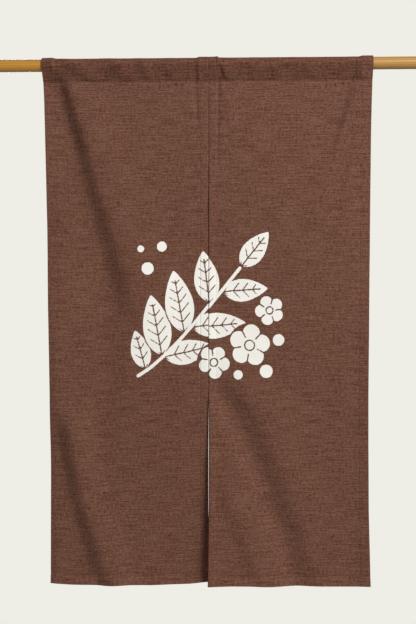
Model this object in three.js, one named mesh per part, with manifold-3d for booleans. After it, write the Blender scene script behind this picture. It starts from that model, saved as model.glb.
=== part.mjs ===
// Noren curtain on a rod: two cloth panels with a sewn pocket along the top, hung on a round wooden rod.
// The panels are joined along the top of their inner edges, and below that the slit between them is open.
// Millimetres: +X to the viewer's right, +Y away from the viewer, +Z up.
// The origin is on the rod's axis, in line with the seam between the panels.
import * as THREE from "three";
import Module from "manifold-3d";

// Rod
const ROD_RADIUS = 16;
const ROD_LENGTH = 1200;
const ROD_EASE = 1.5; // eased rim at each end
const ROD_SIDES = 48;

// Cloth
const CLOTH = 1.2; // one layer
const HEM = 1.1; // what a turned hem adds behind the layer
const HEM_STEP = 1.5; // width of the step where a hem ends
const OUTER_HEM = 26;
const INNER_HEM = 23;
const BOTTOM_HEM = 25;

// Pocket for the rod
const STITCH = 43.5; // stitch line below the rod's axis
const TAIL = 8; // turned-in edge behind the front layer, below the stitch line
const ROD_GAP = 0.3; // between the cloth and the rod
const PLY_GAP = 0.1; // half of what parts the two layers where they are sewn
const SEWN_FROM = STITCH + 1;
const SEWN_TO = STITCH + 5;
const PUCKER_SKEW = 0.6; // below 1, puckers are highest nearer the stitch line than the top

// Fineness of the solids
const COLUMNS = 27; // across the single cloth between the hems
const ROWS = 26; // up the single cloth between the bottom hem and the pocket's tail
const STRAIGHT_ROWS = 3; // from the stitch line to where the cloth meets the rod
const ARC_ROWS = 12; // over the rod
const HEM_NOMINAL = 1338; // usual depth of the hemline, for spacing the rows

// Each panel's left and right edge, by depth below the rod's axis.
const LEFT_EDGES = [
  { down: 0, left: -429.8, right: -0.15 },
  { down: 42, left: -428.0, right: -0.15 },
  { down: 100, left: -425.5, right: -0.15 },
  { down: 290, left: -420.2, right: -0.15 },
  { down: 600, left: -413.4, right: -0.15 },
  { down: 850, left: -409.2, right: -0.15 },
  { down: 985, left: -408.2, right: -0.8 },
  { down: 1145, left: -408.2, right: -0.8 },
  { down: 1340, left: -408.5, right: 2.5 },
];
const RIGHT_EDGES = [
  { down: 0, left: 0.15, right: 420.5 },
  { down: 48, left: 0.15, right: 418.5 },
  { down: 100, left: 0.15, right: 416.9 },
  { down: 290, left: 0.15, right: 414.5 },
  { down: 600, left: 0.15, right: 411.4 },
  { down: 850, left: 0.15, right: 408.8 },
  { down: 985, left: 0.6, right: 408.9 },
  { down: 1145, left: 0.6, right: 409.6 },
  { down: 1340, left: -1.4, right: 414.3 },
];

// Depth of each panel's hemline below the rod's axis, by place across.
const LEFT_HEMLINE = [
  { x: -408, down: 1336.5 },
  { x: -350, down: 1340 },
  { x: -265, down: 1341 },
  { x: -203, down: 1338.3 },
  { x: -150, down: 1340 },
  { x: -48, down: 1336 },
  { x: 3, down: 1330.5 },
];
const RIGHT_HEMLINE = [
  { x: -2, down: 1338.7 },
  { x: 55, down: 1337.3 },
  { x: 158, down: 1339.2 },
  { x: 234, down: 1338 },
  { x: 311, down: 1338.5 },
  { x: 413, down: 1338 },
];

// Folds: a crest runs from x = from at depth top to x = to at depth foot, straight or bowed sideways by bow.
// It grows over the length grow and dies away over the length fade, and falls off over the widths left and
// right of it, which come to spread times as much at its foot. It stands towards the viewer by rise,
// or away where rise is negative. A foot below the hemline means that it runs off there.
const LEFT_FOLDS = [
  // drag fold from the pocket's outer corner: its ridge, and the trough beside it
  { top: 18, foot: 740, grow: 52, fade: 200, from: -368, to: -143, left: 33, right: 100, spread: 2.3, rise: 9.5 },
  { top: 18, foot: 740, grow: 52, fade: 200, from: -401, to: -219, left: 67, right: 33, spread: 2.3, rise: -8.5 },
  // its soft end
  { top: 500, foot: 980, grow: 180, fade: 180, from: -205, to: -205, left: 70, right: 150, rise: 6 },
  // drag fold at the lower outer edge: its ridge, and the trough beside it
  {
    top: 860, foot: 1480, grow: 90, fade: 150, from: -360, to: -178, bow: -34,
    left: 44, right: 76, spread: 1.2, rise: 13,
  },
  {
    top: 860, foot: 1480, grow: 90, fade: 150, from: -404, to: -231, bow: -34,
    left: 70, right: 44, spread: 1.2, rise: -3,
  },
  // outer edge turning back, and the soft swelling beside it
  { top: 600, foot: 1700, grow: 200, fade: 90, from: -412, to: -412, left: 60, right: 22, rise: -3 },
  { top: 420, foot: 1060, grow: 220, fade: 160, from: -412, to: -400, left: 60, right: 150, rise: 14 },
  // inner edge going back behind the other panel
  { top: 760, foot: 1700, grow: 640, fade: 90, from: 10, to: 10, left: 240, right: 60, rise: -8 },
];
const RIGHT_FOLDS = [
  // broad fold from the slit to the hemline: its ridge, the trough beside it, and the ridge below
  {
    top: 740, foot: 1500, grow: 150, fade: 300, from: 50, to: 312, bow: 43,
    left: 76, right: 130, spread: 0.8, rise: 6.5,
  },
  {
    top: 740, foot: 1500, grow: 150, fade: 300, from: -26, to: 251, bow: 43,
    left: 56, right: 76, spread: 0.8, rise: -9,
  },
  { top: 960, foot: 1500, grow: 220, fade: 90, from: -8, to: 215, left: 42, right: 80, rise: 6 },
  // faint drag line from the pocket's outer corner
  { top: 30, foot: 300, grow: 50, fade: 120, from: 387, to: 300, left: 16, right: 40, rise: 2.4 },
  // outer edge turning forward
  { top: 560, foot: 1700, grow: 200, fade: 90, from: 418, to: 418, left: 48, right: 48, rise: 5 },
  // inner edge in front of the other panel: a little below the seam, and more towards the hemline
  { top: 246, foot: 1700, grow: 30, fade: 90, from: 0, to: 0, left: 40, right: 30, rise: 2.6 },
  { top: 760, foot: 1700, grow: 640, fade: 90, from: -4, to: -4, left: 40, right: 260, rise: 20 },
];

// Puckers on the pocket's front: a low ridge that starts at x on the stitch line, leans over by lean at the
// top of the rod and falls off over the widths left and right of it.
const LEFT_PUCKERS = [
  { x: -383, lean: -36, left: 18, right: 30, rise: 2.4 },
  { x: -298, lean: -95, left: 40, right: 44, rise: 4.4 },
  { x: -204, lean: -65, left: 36, right: 40, rise: 4.2 },
  { x: -150, lean: -36, left: 20, right: 26, rise: 2.4 },
  { x: -96, lean: -10, left: 16, right: 28, rise: 1.8 },
];
const RIGHT_PUCKERS = [
  { x: 47, lean: -27, left: 15, right: 36, rise: 4.0 },
  { x: 113, lean: 0, left: 14, right: 30, rise: 1.6 },
  { x: 170, lean: -6, left: 12, right: 30, rise: 1.2 },
  { x: 279, lean: -70, left: 16, right: 30, rise: 1.8 },
  { x: 398, lean: -30, left: 18, right: 22, rise: 2.2 },
];

const LEFT_PANEL = {
  edges: LEFT_EDGES,
  hemline: LEFT_HEMLINE,
  folds: LEFT_FOLDS,
  puckers: LEFT_PUCKERS,
  leftHem: OUTER_HEM,
  rightHem: INNER_HEM,
};
const RIGHT_PANEL = {
  edges: RIGHT_EDGES,
  hemline: RIGHT_HEMLINE,
  folds: RIGHT_FOLDS,
  puckers: RIGHT_PUCKERS,
  leftHem: INNER_HEM,
  rightHem: OUTER_HEM,
};

const { lerp, smoothstep } = THREE.MathUtils;
const wasm = await Module();
wasm.setup();

// 0 to 1, with a soft start and end.
function ease(share) {
  return smoothstep(share, 0, 1);
}

// One column of a table as a function of another column that rises row by row.
function curveOf(rows, key, column) {
  const places = rows.map((row) => row[key]);
  const values = rows.map((row) => row[column]);
  const curve = new THREE.LinearInterpolant(places, values, 1, [0]);
  return (place) => curve.evaluate(place)[0];
}

// How far the folds bring the cloth towards the viewer at one place.
function foldRise(folds, x, down) {
  let rise = 0;
  for (const fold of folds) {
    const { bow = 0, spread = 1 } = fold;
    const share = (down - fold.top) / (fold.foot - fold.top);
    const bowed = bow * 4 * share * (1 - share);
    const crest = lerp(fold.from, fold.to, share) + bowed;
    const width = (x < crest ? fold.left : fold.right) * lerp(1, spread, share);
    const across = ease(1 - Math.abs(x - crest) / width);
    const along = ease((down - fold.top) / fold.grow) * ease((fold.foot - down) / fold.fade);
    rise += fold.rise * across * along;
  }
  return rise;
}

// How far the puckers lift the pocket's front; share is 0 on the stitch line and 1 on top of the rod.
function puckerRise(puckers, x, share) {
  let rise = 0;
  for (const pucker of puckers) {
    const crest = pucker.x + pucker.lean * share;
    const width = x < crest ? pucker.left : pucker.right;
    rise += pucker.rise * ease(1 - Math.abs(x - crest) / width);
  }
  return rise * Math.sin(Math.PI * share ** PUCKER_SKEW);
}

// Places across a panel, as shares of its width, with a step where each side hem ends.
function columnsOf(panel) {
  const width = panel.edges[0].right - panel.edges[0].left;
  const first = panel.leftHem + HEM_STEP;
  const last = width - panel.rightHem - HEM_STEP;
  const columns = [
    { at: 0, hem: 1 },
    { at: panel.leftHem / 2, hem: 1 },
    { at: panel.leftHem, hem: 1 },
  ];
  for (let i = 0; i <= COLUMNS; i++) {
    columns.push({ at: lerp(first, last, i / COLUMNS), hem: 0 });
  }
  columns.push({ at: width - panel.rightHem, hem: 1 });
  columns.push({ at: width - panel.rightHem / 2, hem: 1 });
  columns.push({ at: width, hem: 1 });
  return columns.map(({ at, hem }) => ({ share: at / width, hem }));
}

// Heights above the hemline up to the stitch line, with a step where the bottom hem ends.
function bodyRows() {
  const first = BOTTOM_HEM + HEM_STEP;
  const last = HEM_NOMINAL - STITCH - TAIL;
  const rows = [
    { above: 0, hem: 1 },
    { above: BOTTOM_HEM, hem: 1 },
  ];
  for (let i = 0; i <= ROWS; i++) {
    rows.push({ above: lerp(first, last, i / ROWS), hem: 0 });
  }
  rows.push({ above: HEM_NOMINAL - STITCH, hem: 0 });
  return rows;
}

// The place across of one column, as a function of depth.
function placeOf(panel, column) {
  const leftEdge = curveOf(panel.edges, "down", "left");
  const rightEdge = curveOf(panel.edges, "down", "right");
  return (down) => lerp(leftEdge(down), rightEdge(down), column.share);
}

// The cloth's inner face along one column, from the hemline up the front, over the rod and down the back
// to the pocket's tail: each place has its point, the direction of its outer face and its thickness.
function stationsOf(panel, column) {
  const place = placeOf(panel, column);
  const rise = (down) => foldRise(panel.folds, place(down), down);
  const hemDepth = curveOf(panel.hemline, "x", "down")(place(HEM_NOMINAL));
  const sideThick = CLOTH + HEM * column.hem;
  const front = new THREE.Vector3(0, -1, 0);
  const back = new THREE.Vector3(0, 1, 0);

  const stations = bodyRows().map((row) => {
    const down = lerp(hemDepth, STITCH, row.above / (HEM_NOMINAL - STITCH));
    const hem = HEM * Math.max(column.hem, row.hem);
    const y = hem - PLY_GAP - rise(down);
    return { point: new THREE.Vector3(place(down), y, -down), out: front, thick: CLOTH + hem };
  });

  const leave = Math.acos((ROD_RADIUS + ROD_GAP + CLOTH / 2) / STITCH);
  const step = (2 * Math.PI - 2 * leave) / ARC_ROWS;
  const radius = (ROD_RADIUS + ROD_GAP) / Math.cos(step / 2);
  const x = place(0);
  const onRod = (angle) => {
    const out = new THREE.Vector3(0, -Math.sin(angle), -Math.cos(angle));
    return { point: out.clone().multiplyScalar(radius).setX(x), out, thick: sideThick };
  };
  const between = (a, b, share) => ({
    point: a.point.clone().lerp(b.point, share),
    out: a.out.clone().lerp(b.out, share).normalize(),
    thick: sideThick,
  });

  const loop = [];
  const sewnFront = stations.at(-1);
  for (let i = 1; i < STRAIGHT_ROWS; i++) {
    loop.push(between(sewnFront, onRod(leave), i / STRAIGHT_ROWS));
  }
  for (let i = 0; i <= ARC_ROWS; i++) {
    loop.push(onRod(leave + i * step));
  }
  const top = STRAIGHT_ROWS - 1 + ARC_ROWS / 2;
  loop.slice(0, top).forEach((station, i) => {
    const lift = puckerRise(panel.puckers, x, (i + 1) / (top + 1));
    station.point.addScaledVector(station.out, lift);
  });

  const [sewnBack, tail] = [STITCH, STITCH + TAIL].map((down) => {
    const y = PLY_GAP + HEM * column.hem - rise(down);
    return { point: new THREE.Vector3(place(down), y, -down), out: back, thick: sideThick };
  });
  const leaving = loop.at(-1);
  for (let i = 1; i < STRAIGHT_ROWS; i++) {
    loop.push(between(leaving, sewnBack, i / STRAIGHT_ROWS));
  }
  return [...stations, ...loop, sewnBack, tail];
}

// The row of stitching that joins the pocket's two layers, along one column.
function stitchingOf(panel, column) {
  const place = placeOf(panel, column);
  const rise = (down) => foldRise(panel.folds, place(down), down);
  const behind = PLY_GAP + HEM * column.hem + CLOTH / 2;
  const thick = behind + PLY_GAP + CLOTH / 2;
  const out = new THREE.Vector3(0, -1, 0);
  return [SEWN_TO, SEWN_FROM].map((down) => {
    const y = behind - lerp(rise(STITCH), rise(STITCH + TAIL), (down - STITCH) / TAIL);
    return { point: new THREE.Vector3(place(down), y, -down), out, thick };
  });
}

// A closed solid through columns of stations, from left to right.
function loft(columns) {
  const rings = columns.map((stations) => {
    const inner = stations.map((station) => station.point);
    const outer = stations.map(({ point, out, thick }) => point.clone().addScaledVector(out, thick));
    return [...outer, ...inner.reverse()];
  });
  const size = rings[0].length;
  const points = rings.flat();
  const triVerts = [];
  const quad = (a, b, c, d) => triVerts.push(a, b, c, a, c, d);
  for (let i = 0; i + 1 < rings.length; i++) {
    for (let k = 0; k < size; k++) {
      const next = (k + 1) % size;
      const [a, b, c, d] = [i * size + k, (i + 1) * size + k, (i + 1) * size + next, i * size + next];
      // every face is parted the way the folds run, down to the right, so that layers keep apart
      if (points[a].z > points[d].z) {
        quad(a, b, c, d);
      } else {
        quad(b, c, d, a);
      }
    }
  }
  const end = (rings.length - 1) * size;
  for (let k = 0; k + 1 < size / 2; k++) {
    const across = size - 1 - k;
    quad(k, k + 1, across - 1, across);
    quad(end + across, end + across - 1, end + k + 1, end + k);
  }
  const vertProperties = new Float32Array(points.flatMap((point) => point.toArray()));
  return new wasm.Manifold(
    new wasm.Mesh({ numProp: 3, vertProperties, triVerts: new Uint32Array(triVerts) }),
  );
}

// A panel: one cut of cloth, its pocket closed by the row of stitching.
function panelGeometry(panel) {
  const columns = columnsOf(panel);
  const cloth = loft(columns.map((column) => stationsOf(panel, column)));
  const stitching = loft(columns.map((column) => stitchingOf(panel, column)));
  const { vertProperties, triVerts } = cloth.add(stitching).getMesh();
  const geometry = new THREE.BufferGeometry();
  geometry.setAttribute("position", new THREE.BufferAttribute(vertProperties, 3));
  geometry.setIndex(new THREE.BufferAttribute(triVerts, 1));
  geometry.computeVertexNormals();
  return geometry;
}

// The rod: a round bar with eased rims.
function rodGeometry() {
  const half = ROD_LENGTH / 2;
  const flat = ROD_RADIUS - ROD_EASE;
  const profile = [
    new THREE.Vector2(0, -half),
    new THREE.Vector2(flat, -half),
    new THREE.Vector2(ROD_RADIUS, ROD_EASE - half),
    new THREE.Vector2(ROD_RADIUS, half - ROD_EASE),
    new THREE.Vector2(flat, half),
    new THREE.Vector2(0, half),
  ];
  return new THREE.LatheGeometry(profile, ROD_SIDES);
}

const wood = new THREE.MeshStandardMaterial({ color: 0xb9873f, roughness: 0.45, metalness: 0 });
const leftCloth = new THREE.MeshStandardMaterial({ color: 0x6d4b3d, roughness: 0.9, metalness: 0 });
const rightCloth = new THREE.MeshStandardMaterial({ color: 0x6f4c3e, roughness: 0.9, metalness: 0 });

const rod = new THREE.Mesh(rodGeometry(), wood);
rod.name = "rod";
rod.rotation.z = Math.PI / 2;

const leftPanel = new THREE.Mesh(panelGeometry(LEFT_PANEL), leftCloth);
leftPanel.name = "panel_left";

const rightPanel = new THREE.Mesh(panelGeometry(RIGHT_PANEL), rightCloth);
rightPanel.name = "panel_right";

const curtain = new THREE.Group();
curtain.add(rod, leftPanel, rightPanel);

export default curtain;
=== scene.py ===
"""Dresses the noren: two panels of brown slub cloth, sewn together above the slit, on a varnished rod.

Sizes are in millimetres, as a maker would write them, and meshes are made in metres in the loaded frame:
+X to the viewer's right, +Y away from the viewer and +Z up, with the origin on the rod's axis at the seam.
Depths are measured down from that axis, and lengths along the flat cloth up from its hemline.
"""

import logging
import math
from dataclasses import dataclass
from enum import Enum
from typing import Any, ClassVar

import bpy
import numpy as np
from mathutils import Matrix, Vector


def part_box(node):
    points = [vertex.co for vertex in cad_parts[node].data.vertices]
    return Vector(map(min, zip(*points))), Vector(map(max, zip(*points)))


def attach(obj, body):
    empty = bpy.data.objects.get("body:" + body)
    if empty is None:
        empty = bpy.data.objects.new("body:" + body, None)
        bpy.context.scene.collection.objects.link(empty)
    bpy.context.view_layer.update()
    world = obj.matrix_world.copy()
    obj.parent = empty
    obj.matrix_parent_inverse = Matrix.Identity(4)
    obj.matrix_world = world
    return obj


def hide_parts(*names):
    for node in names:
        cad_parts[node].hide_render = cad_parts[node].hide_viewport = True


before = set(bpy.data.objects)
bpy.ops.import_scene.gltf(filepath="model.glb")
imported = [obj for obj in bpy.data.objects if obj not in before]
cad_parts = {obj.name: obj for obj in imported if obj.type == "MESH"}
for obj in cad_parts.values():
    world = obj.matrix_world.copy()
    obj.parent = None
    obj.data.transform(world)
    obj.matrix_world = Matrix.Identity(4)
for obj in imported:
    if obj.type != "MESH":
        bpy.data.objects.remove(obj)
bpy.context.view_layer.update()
LOG = logging.getLogger("noren")

Array = np.ndarray
Material = bpy.types.Material
Piece = bpy.types.Object
Socket = bpy.types.NodeSocket
Tree = bpy.types.NodeTree
MM = 0.001

# Names that meshes and materials share
FLAT_MAP = "flat_cloth"
INK_FIELD = "ink_edge"
POCKET_SHADE_FIELD = "pocket_painted_shade"
# The pocket's mark, for the painted shade on its cloth
BACK_FIELD = "back_face"

WAVE_TEXTURE = 0.314  # about what one wave of the wave texture spans at a scale of 1


class Side(Enum):
    """Which of the two panels."""

    LEFT = "left"
    RIGHT = "right"


class Face(Enum):
    """A face of the cloth: the one that shows in front, or the one that the hems are turned to."""

    OUTER = "outer"
    INNER = "inner"


class Slot(Enum):
    """The record's material slots."""

    CLOTH = "cloth"
    WOOD = "rod_wood"


def ease(share: Array) -> Array:
    """Runs from 0 to 1 with a soft start and end."""
    held = np.clip(share, 0.0, 1.0)
    return held * held * (3.0 - 2.0 * held)


def spaced(*spans: tuple[float, float, float]) -> Array:
    """Spreads places along a line, span by span.

    Args:
        spans: for each span in order, where it starts and ends and how far apart its places may be.

    Returns:
        The places, rising, with each span's ends among them.
    """
    places = [np.array([spans[0][0]])]
    for start, end, step in spans:
        count = max(1, math.ceil((end - start) / step))
        places.append(np.linspace(start, end, count + 1)[1:])
    return np.concatenate(places)


def quads(number: Array) -> Array:
    """Joins corners into four-sided faces.

    Args:
        number: the corners' numbers, by row and column in the last two places.

    Returns:
        Four corner numbers for each face.
    """
    low, high = number[..., :-1, :], number[..., 1:, :]
    corners = low[..., :-1], low[..., 1:], high[..., 1:], high[..., :-1]
    return np.stack(corners, -1).reshape(-1, 4)


def around(number: Array) -> Array:
    """Repeats the first column of corner numbers after the last, so that faces close into a tube."""
    return np.concatenate([number, number[..., :1]], -1)


def linear(colour: str) -> tuple[float, float, float, float]:
    """Turns an sRGB hex colour into linear light, by that standard's own curve.

    Args:
        colour: six hex digits after a hash sign.

    Returns:
        Red, green, blue and alpha.
    """
    parts = (int(colour[i : i + 2], 16) / 255.0 for i in (1, 3, 5))
    red, green, blue = (p / 12.92 if p <= 0.04045 else ((p + 0.055) / 1.055) ** 2.4 for p in parts)
    return red, green, blue, 1.0


def add_node(tree: Tree, kind: str, inputs: dict | None = None, out: int | str = 0, **settings: Any) -> Any:
    """Adds one node to a tree.

    Args:
        tree: the tree that gets the node.
        kind: the node's type name after its prefix.
        inputs: by socket name or number, a plain value or the output socket to link from.
        out: name or number of the output to hand back.
        settings: the node's own properties.

    Returns:
        That output socket, or nothing where the node has no outputs.
    """
    node = tree.nodes.new(f"ShaderNode{kind}")
    for name, value in settings.items():
        setattr(node, name, value)
    for key, value in (inputs or {}).items():
        if isinstance(value, Socket):
            tree.links.new(value, node.inputs[key])
        else:
            node.inputs[key].default_value = value
    return node.outputs[out] if node.outputs else None


def new_material(name: str) -> tuple[Material, Tree]:
    """Makes an empty node material.

    Args:
        name: the real material's common name.

    Returns:
        The material and its node tree.
    """
    material = bpy.data.materials.new(name)
    material.use_nodes = True
    material.node_tree.nodes.clear()
    return material, material.node_tree


def new_mesh(name: str, points: Array, faces: list[list[int]]) -> Piece:
    """Makes a smooth mesh object in the scene.

    Args:
        name: the piece's name.
        points: its corners in millimetres, one row each.
        faces: corner numbers of each face.

    Returns:
        The object.
    """
    mesh = bpy.data.meshes.new(name)
    mesh.from_pydata((points * MM).tolist(), [], faces)
    mesh.polygons.foreach_set("use_smooth", [True] * len(mesh.polygons))
    piece = bpy.data.objects.new(name, mesh)
    bpy.context.scene.collection.objects.link(piece)
    return piece


def report(piece: Piece, words: str) -> None:
    """Logs one finished piece with its number of faces."""
    LOG.info("%s: %s, %d faces", piece.name, words, len(piece.data.polygons))


@dataclass(frozen=True)
class Fold:
    """A fold or crease: a soft ridge, or a trough where its rise is below nothing."""

    top: float  # depth at which it starts
    foot: float  # depth at which it ends; below the hemline where it runs off the cloth
    grow: float  # length over which it grows
    fade: float  # length over which it dies away
    start: float  # place across at its top
    end: float  # place across at its foot
    bow: float  # how far its middle is bowed sideways
    left: float  # width over which it falls off on the left
    right: float  # width over which it falls off on the right
    rise: float  # how far it stands towards the viewer
    spread: float = 1.0  # how many times as wide it is at its foot as at its top

    def rise_at(self, x: Array, down: Array) -> Array:
        """Gives how far it lifts the cloth.

        Args:
            x: places across.
            down: depths.

        Returns:
            The lift towards the viewer at each place.
        """
        share = (down - self.top) / (self.foot - self.top)
        crest = self.start + (self.end - self.start) * share + self.bow * 4.0 * share * (1.0 - share)
        width = np.where(x < crest, self.left, self.right) * (1.0 + (self.spread - 1.0) * share)
        across = ease(1.0 - np.abs(x - crest) / width)
        along = ease((down - self.top) / self.grow) * ease((self.foot - down) / self.fade)
        return self.rise * across * along


@dataclass(frozen=True)
class Pucker:
    """A low slanting ridge on the pocket's front."""

    skew: ClassVar[float] = 0.6  # below 1, it is highest nearer the stitch line than the top
    x: float  # place across on the stitch line
    lean: float  # how far it has leant over on top of the rod
    left: float  # width over which it falls off on the left
    right: float  # width over which it falls off on the right
    rise: float  # height of its middle

    def rise_at(self, x: Array, share: Array) -> Array:
        """Gives how far it lifts the pocket's front.

        Args:
            x: places across.
            share: 0 on the stitch line to 1 on top of the rod.

        Returns:
            The lift away from the rod at each place.
        """
        crest = self.x + self.lean * share
        width = np.where(x < crest, self.left, self.right)
        height = self.rise * np.sin(np.pi * share**self.skew)
        return height * ease(1.0 - np.abs(x - crest) / width)


@dataclass(frozen=True)
class Waviness:
    """Slight unevenness, as a few waves of seeded headings."""

    seed: int
    lengths: tuple[float, ...]
    height: float  # each wave's

    def rise_at(self, x: Array, y: Array) -> Array:
        """Gives the lift of all the waves together.

        Args:
            x: places one way.
            y: places the other way.

        Returns:
            The lift at each place.
        """
        draw = np.random.default_rng(self.seed)
        rise = np.zeros(np.broadcast(x, y).shape)
        for length in self.lengths:
            heading = draw.uniform(0.0, math.pi)
            phase = draw.uniform(0.0, 2.0 * math.pi)
            reach = x * math.cos(heading) + y * math.sin(heading)
            rise += self.height * np.sin(2.0 * math.pi * reach / length + phase)
        return rise


@dataclass(frozen=True)
class Gather:
    """Small upright ripples that a line of stitches pulls into the cloth beside it."""

    seed: int
    lengths: tuple[float, ...]
    height: float  # each ripple's, on the line
    reach: float  # distance over which they flatten out

    def rise_at(self, x: Array, off: Array) -> Array:
        """Gives the lift of all the ripples together.

        Args:
            x: places across.
            off: distances off the line.

        Returns:
            The lift at each place.
        """
        draw = np.random.default_rng(self.seed)
        rise = np.zeros(np.broadcast(x, off).shape)
        for length in self.lengths:
            phase = draw.uniform(0.0, 2.0 * math.pi)
            rise += self.height * np.sin(2.0 * math.pi * x / length + phase)
        return rise * np.exp(-np.abs(off) / self.reach)


@dataclass(frozen=True)
class Leaf:
    """A leaf of the printed spray."""

    along: float  # its foot's share of the stem
    spread: float  # turn away from the stem in degrees, to the left, or to the right where below nothing
    length: float
    width: float


@dataclass(frozen=True)
class Blossom:
    """A five-petalled blossom of the printed spray: its middle, radius and turn in degrees."""

    x: float
    y: float
    radius: float
    turn: float


@dataclass(frozen=True)
class Bud:
    """A round bud of the printed spray: its middle and radius."""

    x: float
    y: float
    radius: float


@dataclass(frozen=True)
class LeafSpray:
    """The print: a plain spray of leaves, blossoms and buds that crosses the slit.

    Places are measured from the print's middle, to the right and up. Each field is below nothing where
    there is ink, and is about the distance to the ink's edge.
    """

    depth: float = 616.0  # of the print's middle
    half_width: float = 206.0
    half_height: float = 196.0
    stem: tuple[tuple[float, float], ...] = ((-190, -184), (-112, -140), (-24, -40), (82, 92))
    stem_width: float = 8.5
    stem_steps: int = 40  # straight stretches that its bend is drawn with
    stalk: float = 7.0  # from the stem's middle to a leaf's foot
    line: float = 3.6  # width of the bare lines inside leaves and blossoms
    vein_step: float = 25.0  # from one side vein of a leaf to the next
    leaves: tuple[Leaf, ...] = (
        Leaf(0.09, 72, 100, 52),
        Leaf(0.27, 60, 156, 74),
        Leaf(0.27, -30, 132, 62),
        Leaf(0.50, 54, 160, 76),
        Leaf(0.56, -42, 140, 66),
        Leaf(0.74, 48, 132, 66),
        Leaf(0.84, -46, 116, 58),
        Leaf(1.00, 0, 112, 58),
    )
    blossoms: tuple[Blossom, ...] = (
        Blossom(108, -106, 54, 10),
        Blossom(160, -16, 38, 40),
        Blossom(14, -150, 42, 62),
    )
    buds: tuple[Bud, ...] = (
        Bud(184, -92, 15),
        Bud(78, -182, 12),
        Bud(152, -172, 17),
        Bud(-162, 92, 16),
        Bud(-124, 148, 13),
        Bud(-180, 142, 9),
    )

    def stem_at(self, share: Array) -> Array:
        """Gives points on the stem's bend.

        Args:
            share: from 0 at its foot to 1 at its tip.

        Returns:
            One point for each share.
        """
        foot, low, high, tip = (np.array(point, float) for point in self.stem)
        t = np.asarray(share, float)[..., None]
        rest = 1.0 - t
        return foot * rest**3 + 3.0 * low * t * rest**2 + 3.0 * high * t**2 * rest + tip * t**3

    def stem_field(self, x: Array, y: Array) -> Array:
        """Gives the stem's field.

        Args:
            x: places to the right of the print's middle.
            y: places above it.

        Returns:
            The field at each place.
        """
        line = self.stem_at(np.linspace(0.0, 1.0, self.stem_steps + 1))
        nearest = np.full(x.shape, np.inf)
        for start, end in zip(line[:-1], line[1:]):
            along = end - start
            share = ((x - start[0]) * along[0] + (y - start[1]) * along[1]) / (along @ along)
            near = start[:, None, None] + along[:, None, None] * np.clip(share, 0.0, 1.0)
            nearest = np.minimum(nearest, np.hypot(x - near[0], y - near[1]))
        return nearest - self.stem_width / 2.0

    def leaf_fields(self, leaf: Leaf, x: Array, y: Array) -> tuple[Array, Array]:
        """Gives a leaf's fields.

        Args:
            leaf: the leaf.
            x: places to the right of the print's middle.
            y: places above it.

        Returns:
            The field of the whole blade, and that of the blade without its veins.
        """
        fullest = 0.78  # below 1, the blade is fullest nearer its foot
        plump = 0.8  # below 1, its sides are rounder than a sine
        tip = 0.84  # share of the length at which the veins end
        margin = 0.66  # share of the half width at which the side veins end
        lean = 0.85  # how far a side vein runs forward for its reach outwards
        fine = 0.4  # half width of a side vein, in widths of a bare line
        before = 0.02  # share of the stem over which its heading is taken
        foot, behind = self.stem_at(np.array([leaf.along, leaf.along - before]))
        heading = math.atan2(foot[1] - behind[1], foot[0] - behind[0])
        heading += math.radians(leaf.spread)
        along = (x - foot[0]) * math.cos(heading) + (y - foot[1]) * math.sin(heading) - self.stalk
        across = np.abs((y - foot[1]) * math.cos(heading) - (x - foot[0]) * math.sin(heading))
        share = np.clip(along / leaf.length, 0.0, 1.0)
        half = leaf.width / 2.0 * np.sin(math.pi * share**fullest) ** plump
        blade = across - half + np.maximum(np.maximum(-along, along - leaf.length), 0.0)
        past_tip = np.maximum(along - tip * leaf.length, 0.0)
        midrib = self.line / 2.0 - across - past_tip
        step = (along - lean * across) / self.vein_step
        off_vein = np.abs(step - np.round(step)) * self.vein_step / math.hypot(1.0, lean)
        side_vein = fine * self.line - off_vein - np.maximum(across - margin * half, 0.0) - past_tip
        return blade, np.maximum(blade, np.maximum(midrib, side_vein))

    def blossom_field(self, blossom: Blossom, x: Array, y: Array) -> Array:
        """Gives a blossom's field, bare in a ring and between its petals.

        Args:
            blossom: the blossom.
            x: places to the right of the print's middle.
            y: places above it.

        Returns:
            The field at each place.
        """
        petals = 5
        waist = 0.68  # share of the radius between two petals
        plump = 0.7  # below 1, petals are rounder than a cosine
        ring = 0.24  # share of the radius at the bare ring
        clear = 0.4  # share of the radius at which the lines between petals start
        radius = np.hypot(x - blossom.x, y - blossom.y)
        angle = np.arctan2(y - blossom.y, x - blossom.x) - math.radians(blossom.turn)
        lobe = np.abs(np.cos(petals / 2.0 * angle)) ** plump
        outline = radius - blossom.radius * (waist + (1.0 - waist) * lobe)
        bare_ring = self.line / 2.0 - np.abs(radius - ring * blossom.radius)
        off_line = np.sin(np.mod(angle, 2.0 * math.pi / petals) - math.pi / petals) * radius
        bare_line = np.minimum(self.line / 2.0 - np.abs(off_line), radius - clear * blossom.radius)
        return np.maximum(outline, np.maximum(bare_ring, bare_line))

    def field(self, x: Array, y: Array) -> Array:
        """Gives the whole print's field.

        Args:
            x: places to the right of the print's middle.
            y: places above it.

        Returns:
            The field at each place.
        """
        ink = np.full(x.shape, self.vein_step)
        for leaf in self.leaves:
            blade, veined = self.leaf_fields(leaf, x, y)
            ink = np.minimum(np.maximum(ink, self.line - blade), veined)
        ink = np.minimum(ink, self.stem_field(x, y))
        for blossom in self.blossoms:
            near = blossom.radius + self.line - np.hypot(x - blossom.x, y - blossom.y)
            ink = np.minimum(np.maximum(ink, near), self.blossom_field(blossom, x, y))
        for bud in self.buds:
            ink = np.minimum(ink, np.hypot(x - bud.x, y - bud.y) - bud.radius)
        return ink


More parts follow.
